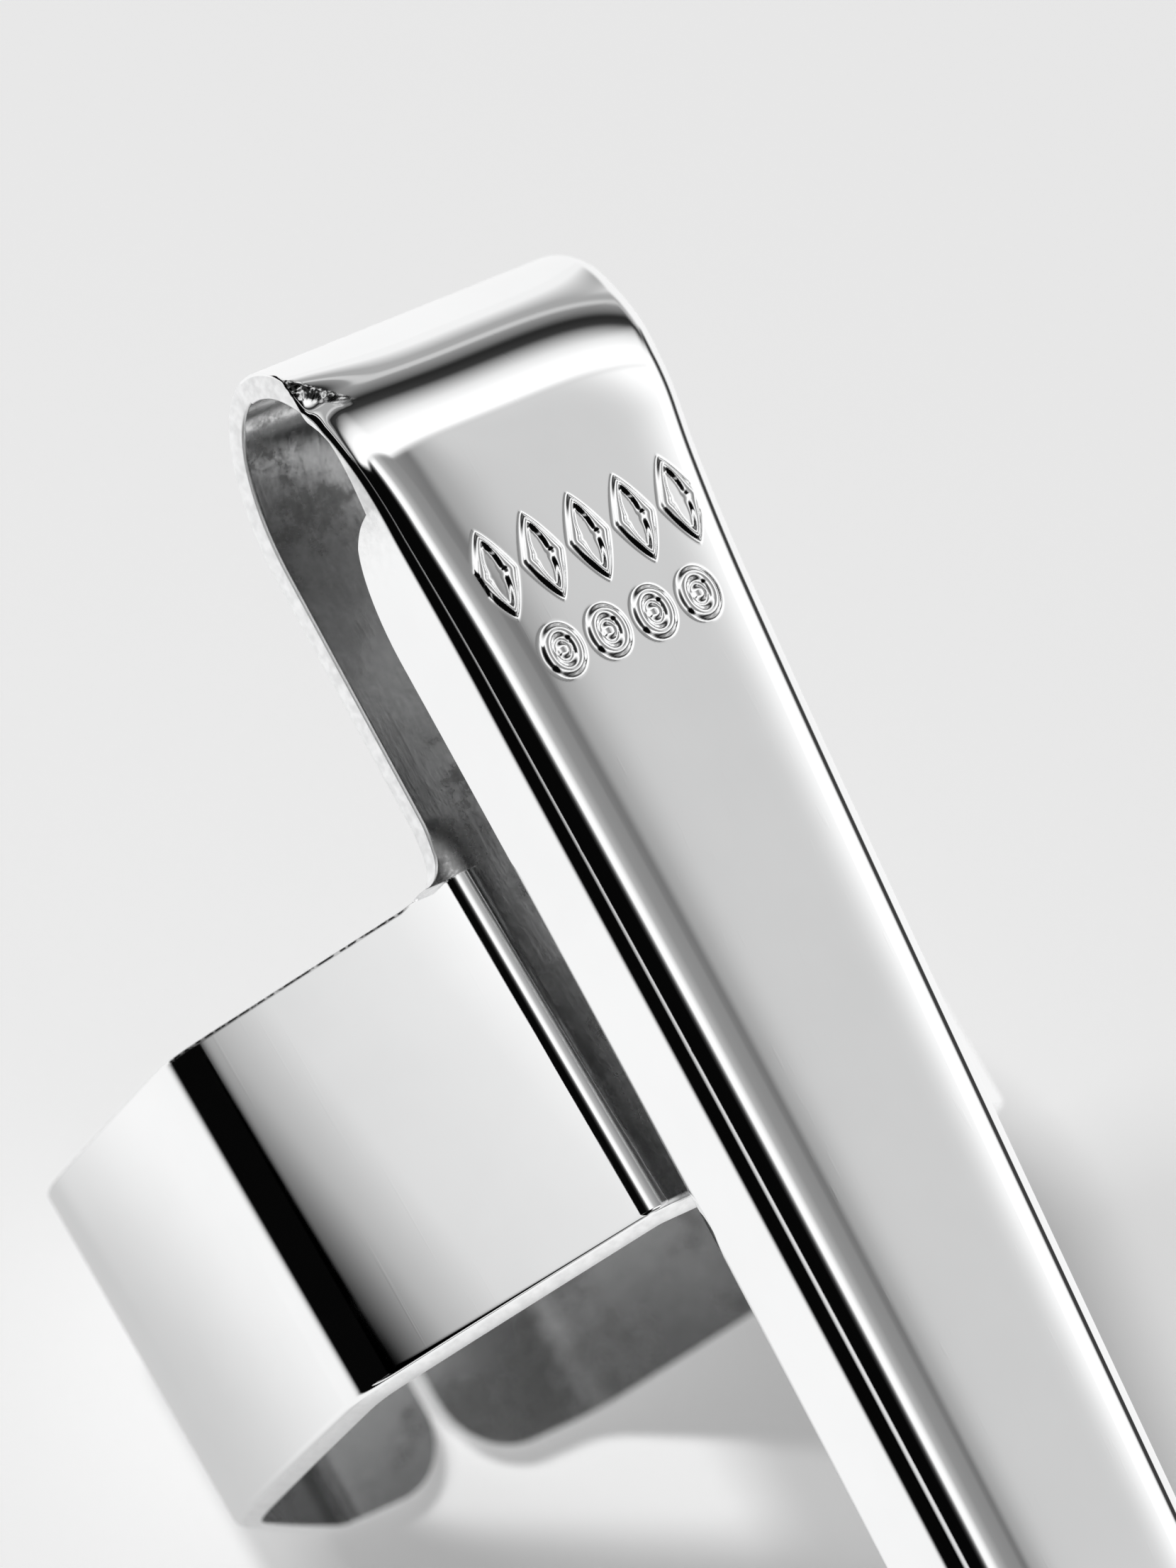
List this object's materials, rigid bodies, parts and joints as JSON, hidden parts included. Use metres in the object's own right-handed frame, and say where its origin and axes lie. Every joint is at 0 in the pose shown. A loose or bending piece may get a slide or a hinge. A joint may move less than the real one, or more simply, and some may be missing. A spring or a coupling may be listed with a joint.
{
  "type": "slide-on pocket clip",
  "caption": "Slide-on spring clip folded from polished sheet: an eight-sided open band for a barrel, a spring loop and a channelled arm with a small raised pattern.",
  "frame": {"origin": "middle of the underside of the whole clip's box, on the plane of the two free ends' outer faces", "axes": "+Y along the barrel from the arm's tip towards the spring loop, +X across the arm, +Z from the free ends towards the arm, out of the front of the clip"},
  "size_m": [0.014, 0.0262, 0.018],
  "materials": {
    "polished_plating": "mirror-polished bright plating with satin cut edges"
  },
  "bodies": {
    "band_front": {"front_facet": "polished_plating", "neck": "polished_plating"},
    "loop": {"spring_loop": "polished_plating"},
    "arm": {"arm_face": "polished_plating", "left_flange": "polished_plating", "right_flange": "polished_plating", "arm_tip": "polished_plating"},
    "left_wing": {"left_shoulder_facet": "polished_plating", "left_side_facet": "polished_plating", "left_lower_facet": "polished_plating", "left_free_end": "polished_plating"},
    "right_wing": {"right_shoulder_facet": "polished_plating", "right_side_facet": "polished_plating", "right_lower_facet": "polished_plating", "right_free_end": "polished_plating"}
  },
  "joints": [
    {"name": "arm_flex", "type": "hinge", "parent": "loop", "child": "arm", "pos_m": [0, 0.01013, 0.0178], "axis": [-1, 0, 0], "range_deg": [0, 5]},
    {"name": "loop_flex", "type": "hinge", "parent": "band_front", "child": "loop", "pos_m": [0, 0.01021, 0.01411], "axis": [-1, 0, 0], "range_deg": [0, 5]},
    {"name": "left_wing_flex", "type": "hinge", "parent": "band_front", "child": "left_wing", "pos_m": [-0.00279, 0.0013, 0.01374], "axis": [0, 1, 0], "range_deg": [0, 3]},
    {"name": "right_wing_flex", "type": "hinge", "parent": "band_front", "child": "right_wing", "pos_m": [0.00279, 0.0013, 0.01374], "axis": [0, -1, 0], "range_deg": [0, 3]}
  ],
  "couplings": [
    {"joint": "arm_flex", "follows": "loop_flex", "ratio": 1},
    {"joint": "right_wing_flex", "follows": "left_wing_flex", "ratio": 1}
  ]
}
